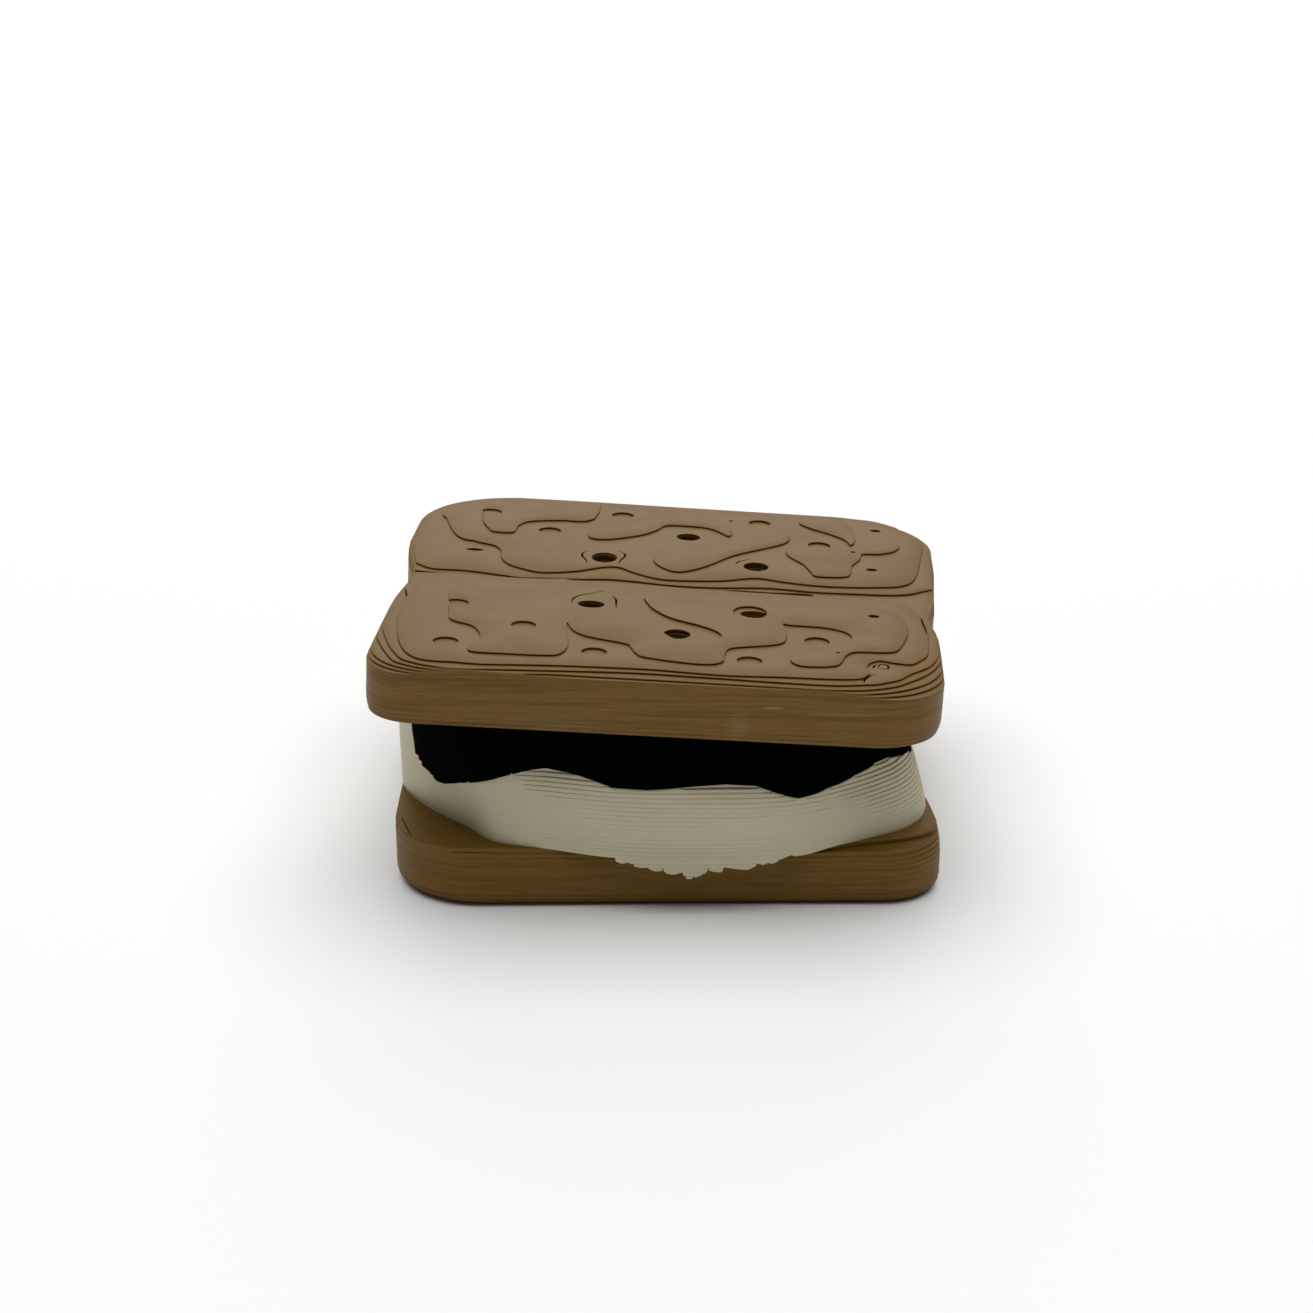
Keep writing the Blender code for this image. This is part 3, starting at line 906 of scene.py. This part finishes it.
def feed(tree, socket, value):
    """Set an input, or link it."""
    if isinstance(value, bpy.types.NodeSocket):
        tree.links.new(value, socket)
    else:
        socket.default_value = value


def add_node(tree, kind, **inputs):
    """A node with some of its inputs set or linked."""
    node = tree.nodes.new(kind)
    for key, value in inputs.items():
        feed(tree, node.inputs[key.replace("_", " ")], value)
    return node


def mix(tree, factor, first, second):
    """Mix of a colour, plain or linked, and a plain one."""
    node = tree.nodes.new("ShaderNodeMix")
    node.data_type = "RGBA"
    first = (*first, 1) if isinstance(first, tuple) else first
    for index, value in ((0, factor), (6, first), (7, (*second, 1))):
        feed(tree, node.inputs[index], value)
    return node.outputs[2]


def span(tree, value, low, high, out_low=0.0, out_high=1.0):
    """A value moved from one range to another."""
    node = add_node(tree, "ShaderNodeMapRange", Value=value, From_Min=low, From_Max=high,
                    To_Min=out_low, To_Max=out_high)
    return node.outputs["Result"]


def operate(tree, kind, operation, *values):
    """The value that an operation gives."""
    node = tree.nodes.new(kind)
    node.operation = operation
    for socket, value in zip(node.inputs, values):
        feed(tree, socket, value)
    return node.outputs["Value"]


def grain(tree, place, scale, detail, **inputs):
    """Noise round a place."""
    return add_node(tree, "ShaderNodeTexNoise", Vector=place, Scale=scale, Detail=detail,
                    **inputs).outputs["Fac"]


def smudge(tree, base, place, centre, half_sizes, strength, colour):
    """A soft mark on a colour, round a point in mm."""
    near = add_node(
        tree, "ShaderNodeMapping", Vector=place, Scale=[1 / (size * MM) for size in half_sizes],
        Location=[-middle / size for middle, size in zip(centre, half_sizes)])
    near = near.outputs["Vector"]
    away = operate(tree, "ShaderNodeVectorMath", "LENGTH", near)
    patchy = grain(tree, near, 2.5, 3.0)
    share = span(tree, away, 0.1, 1.0, 1.6 * strength, 0.0)
    share = operate(tree, "ShaderNodeMath", "MULTIPLY", share, patchy)
    return mix(tree, share, base, colour)


# Colours of a printed plastic: its own, the one of its mottling, that of its dark streaks
# and of the painted shade in its grooves, of the painted highlight on its rims, and of its
# light streaks. Then its finish, and how strong the streaks are.
Plastic = namedtuple("Plastic", "colour pale deep rim light roughness specular streak")
TOP_BROWN = Plastic(
    colour=(0.166, 0.084, 0.0105), pale=(0.162, 0.088, 0.012), deep=(0.03, 0.011, 0.001),
    rim=(0.32, 0.2, 0.08), light=(0.225, 0.122, 0.02), roughness=0.5, specular=0.23, streak=0.62)
BOTTOM_BROWN = Plastic(
    colour=(0.162, 0.08, 0.0065), pale=(0.156, 0.087, 0.008), deep=(0.03, 0.011, 0.001),
    rim=(0.24, 0.14, 0.03), light=(0.21, 0.125, 0.018), roughness=0.5, specular=0.2, streak=0.45)
CREAM = Plastic(
    colour=(0.52, 0.47, 0.325), pale=(0.555, 0.505, 0.35), deep=(0.30, 0.26, 0.17),
    rim=(0.6, 0.55, 0.4), light=(0.6, 0.55, 0.4), roughness=0.5, specular=0.3, streak=0.06)
BLACK = Plastic(
    colour=(0.0008, 0.0006, 0.0005), pale=(0.0012, 0.0009, 0.0007),
    deep=(0.0004, 0.0003, 0.0002), rim=(0.001, 0.001, 0.001), light=(0.001, 0.001, 0.001),
    roughness=0.8, specular=0.01, streak=0.1)
ROUGHNESS_RANGE = 0.02
# Streaks along the beads: their pace along X, Y and Z per metre, their detail and the
# range of the noise that shows
DARK_STREAKS = ((100.0, 100.0, 5200.0), 3.0, (0.45, 0.8))
LIGHT_STREAKS = ((420.0, 420.0, 9000.0), 2.0, (0.5, 0.75))
# Walls are told from level faces by the upward part of their normal. A share of the
# streaks is left on level faces, and the deepest groove gets this much of the deep
# colour as painted shade.
WALL = 0.3
LEVEL = 0.9
LEVEL_STREAKS = 0.2
GROOVE_SHADE = 0.92


def streaks(tree, place, walls, scale, detail, limits, **inputs):
    """Share of streaks along the beads of a wall."""
    long = add_node(tree, "ShaderNodeMapping", Vector=place, Scale=scale)
    share = span(tree, grain(tree, long.outputs["Vector"], 1.0, detail, **inputs), *limits)
    return operate(tree, "ShaderNodeMath", "MULTIPLY", walls, share)


def plastic(name, look, smudges=()):
    """Printed plastic: soft mottling, streaks along the beads, painted shade in the
    grooves and a painted highlight on the rims.
    """
    material, tree, principled = shader(name, look.roughness, look.specular)
    place = tree.nodes.new("ShaderNodeTexCoord").outputs["Object"]
    mottle = grain(tree, place, 330.0, 8.0, Roughness=0.7)
    base = mix(tree, span(tree, mottle, 0.3, 0.7), look.colour, look.pale)
    surface = tree.nodes.new("ShaderNodeNewGeometry")
    axes = add_node(tree, "ShaderNodeSeparateXYZ", Vector=surface.outputs["Normal"])
    walls = span(tree, axes.outputs["Z"], WALL, LEVEL, look.streak,
                 LEVEL_STREAKS * look.streak)
    base = mix(tree, streaks(tree, place, walls, *DARK_STREAKS, Roughness=0.6), base,
               look.deep)
    base = mix(tree, streaks(tree, place, walls, *LIGHT_STREAKS), base, look.light)
    for mark in smudges:
        base = smudge(tree, base, place, *mark)
    # Painted shade: grooves and holes darken towards the deep colour. Painted highlight: open rims
    # lighten towards the rim colour.
    painted_shading = tree.nodes.new("ShaderNodeAttribute")
    painted_shading.attribute_name = "painted_shading"
    tone = painted_shading.outputs["Fac"]
    base = mix(tree, span(tree, tone, 0.0, 1.0, 0.0, GROOVE_SHADE), base, look.deep)
    base = mix(tree, span(tree, tone, -1.0, 0.0, 1.0, 0.0), base, look.rim)
    tree.links.new(base, principled.inputs["Base Color"])
    relief = add_node(tree, "ShaderNodeBump", Height=grain(tree, place, 2400.0, 3.0),
                      Strength=0.12, Distance=0.00002)
    tree.links.new(relief.outputs["Normal"], principled.inputs["Normal"])
    rough = span(tree, mottle, 0.3, 0.7, look.roughness - ROUGHNESS_RANGE,
                 look.roughness + ROUGHNESS_RANGE)
    tree.links.new(rough, principled.inputs["Roughness"])
    return material


def add_piece(node, look, layers, place, tones, groove=GROOVE, edges=(),
              clearance=0.0, top=None, smudges=(), angle=SHARP_ANGLE):
    """A printed piece in place of a CAD node, cut off flat at a frame for its top."""
    name = f"{node}_print"
    mesh = stack_mesh(name, layers, place, tones, groove, edges, clearance)
    if top:
        cut_above(mesh, top)
    mesh.materials.append(plastic(f"{node}_plastic", look, smudges))
    mesh.shade_smooth()
    mesh.set_sharp_from_angle(angle=angle)
    item = add_object(name, mesh)
    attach(item, "root")
    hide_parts(node)


def build_pieces():
    """The four printed pieces."""
    smudges = []
    for pixel, half_x, half_z, strength, colour in SMUDGES:
        x, z = on_upright((pixel,), TOP_FRONT)[0]
        smudges.append(((x, TOP_FRONT, z), (half_x, SMUDGE_DEPTH, half_z), strength, colour))
    # Painted shade in the grooves of every piece; the upper cracker also has painted shade in its
    # holes and a painted highlight on its open upper edges
    add_piece("cracker_top", TOP_BROWN, top_layers(), TOP_FRAME,
              Tones(wide=0.15, rim=0.4, hole=0.75), smudges=smudges)
    add_piece("cracker_bottom", BOTTOM_BROWN, bottom_layers(), BOTTOM_FRAME,
              Tones(wide=0.08))
    front = on_pillow(CHOCOLATE_FRONT)
    drip = on_upright(DRIP_EDGE, DRIP_FRONT)
    back = curve(CHOCOLATE_BACK, closed=False)
    filling = chocolate_layers(front, back)
    lower_edges = [(front, -1), (back, 1)]
    underside = TOP_FRAME @ Matrix.Translation((0, 0, -TOP.thickness - CLEARANCE))
    add_piece("marshmallow", CREAM, marshmallow_layers(filling, drip), WORLD,
              Tones(flush=0.0, wide=0.05), SOFT_GROOVE, lower_edges + [(drip, -1)],
              -CLEARANCE, underside, angle=SOFT_ANGLE)
    add_piece("chocolate", BLACK, filling, WORLD, Tones(), edges=lower_edges,
              top=underside)


FLOOR_HALF = 12.0


def add_floor():
    """A plain pale floor."""
    material, _, principled = shader("floor_paper", 0.9, 0.2)
    principled.inputs["Base Color"].default_value = (0.93, 0.93, 0.93, 1)
    mesh = bpy.data.meshes.new("floor")
    corners = ((-1, -1), (1, -1), (1, 1), (-1, 1))
    mesh.from_pydata([(FLOOR_HALF * x, FLOOR_HALF * y, 0) for x, y in corners], [],
                     [(0, 1, 2, 3)])
    mesh.materials.append(material)
    add_object("floor", mesh)


def add_light(name, kind, place, size, power):
    """A soft light: a square one with a size in metres, or a far one with an angle."""
    light = bpy.data.lights.new(name, kind)
    if kind == "AREA":
        light.size = size
    else:
        light.angle = size
    light.energy = power
    item = add_object(name, light)
    item.location = place
    item.rotation_euler = (Vector() - Vector(place)).to_track_quat("-Z", "Y").to_euler()


def add_studio():
    """Soft light from above, a little fill, and the photograph's camera."""
    world = bpy.data.worlds.new("studio")
    world.use_nodes = True
    sky = world.node_tree.nodes["Background"].inputs
    sky["Color"].default_value = (1, 1, 1, 1)
    sky["Strength"].default_value = 0.08
    bpy.context.scene.world = world
    bpy.context.scene.view_settings.view_transform = "Standard"
    add_light("overhead", "SUN", (0.0, 0.0, 0.5), radians(80), 2.75)
    add_light("sheen", "AREA", (0.0, 0.5, 0.28), 0.4, 0.8)
    lens = bpy.data.cameras.new("camera")
    lens.sensor_width = SENSOR
    lens.lens = SENSOR * FOCAL / PICTURE
    lens.clip_start = 0.01
    camera = add_object("camera", lens)
    camera.location = EYE * MM
    camera.rotation_euler = (AIM - EYE).to_track_quat("-Z", "Y").to_euler()
    bpy.context.scene.camera = camera


build_pieces()
add_floor()
add_studio()
